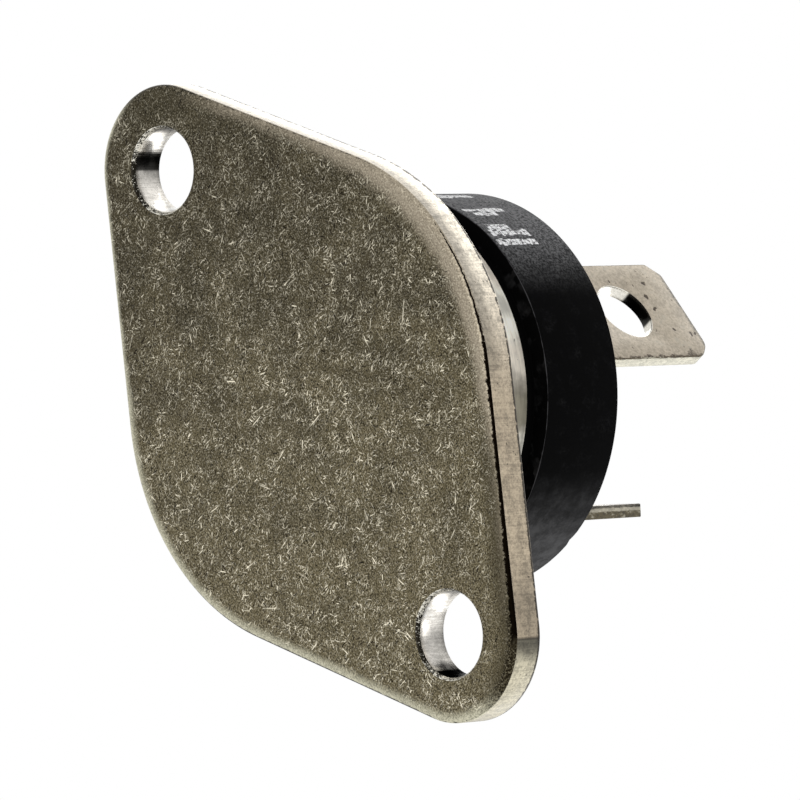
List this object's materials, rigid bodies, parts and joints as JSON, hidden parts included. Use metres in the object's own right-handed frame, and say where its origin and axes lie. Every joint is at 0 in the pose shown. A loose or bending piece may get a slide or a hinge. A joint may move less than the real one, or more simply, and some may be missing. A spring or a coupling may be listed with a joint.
{
  "type": "triac",
  "caption": "Flange-mounted triac with an insulated metal base, a potted round case, two main solder tabs and a gate tab, for switching mains loads.",
  "frame": {"origin": "centre of the mounting face", "axes": "+Z from the mounting face towards the terminals, +X along the line through the two fixing holes, towards the side with the gate tab"},
  "size_m": [0.0388, 0.0252, 0.0236],
  "materials": {
    "nickel_plate": "nickel-plated, tumbled, with fine random scratches",
    "terminal_tin": "tinned sheet, sheared edges",
    "case_plastic": "black moulded plastic",
    "resin": "black potting resin",
    "gel": "clear soft gel",
    "adhesive": "set adhesive",
    "solder": "solder",
    "copper": "bare copper",
    "ceramic_white": "white alumina",
    "silicon": "passivated silicon"
  },
  "bodies": {
    "root": {"base": "nickel_plate", "case_adhesive": "adhesive", "case_ring": "case_plastic", "potting_resin": "resin", "soft_gel": "gel", "base_solder": "solder", "back_copper": "copper", "ceramic_plate": "ceramic_white", "main_pad_1": "copper", "main_pad_2": "copper", "gate_pad": "copper", "die_solder": "solder", "silicon_die": "silicon", "clip_die_solder": "solder", "clip_pad_solder": "solder", "contact_clip": "copper", "lead_die_solder": "solder", "lead_pad_solder": "solder", "gate_lead": "copper", "main_foot_solder_1": "solder", "main_foot_solder_2": "solder", "gate_foot_solder": "solder", "main_terminal_1": "terminal_tin", "main_terminal_2": "terminal_tin", "gate_terminal": "terminal_tin"}
  },
  "joints": []
}
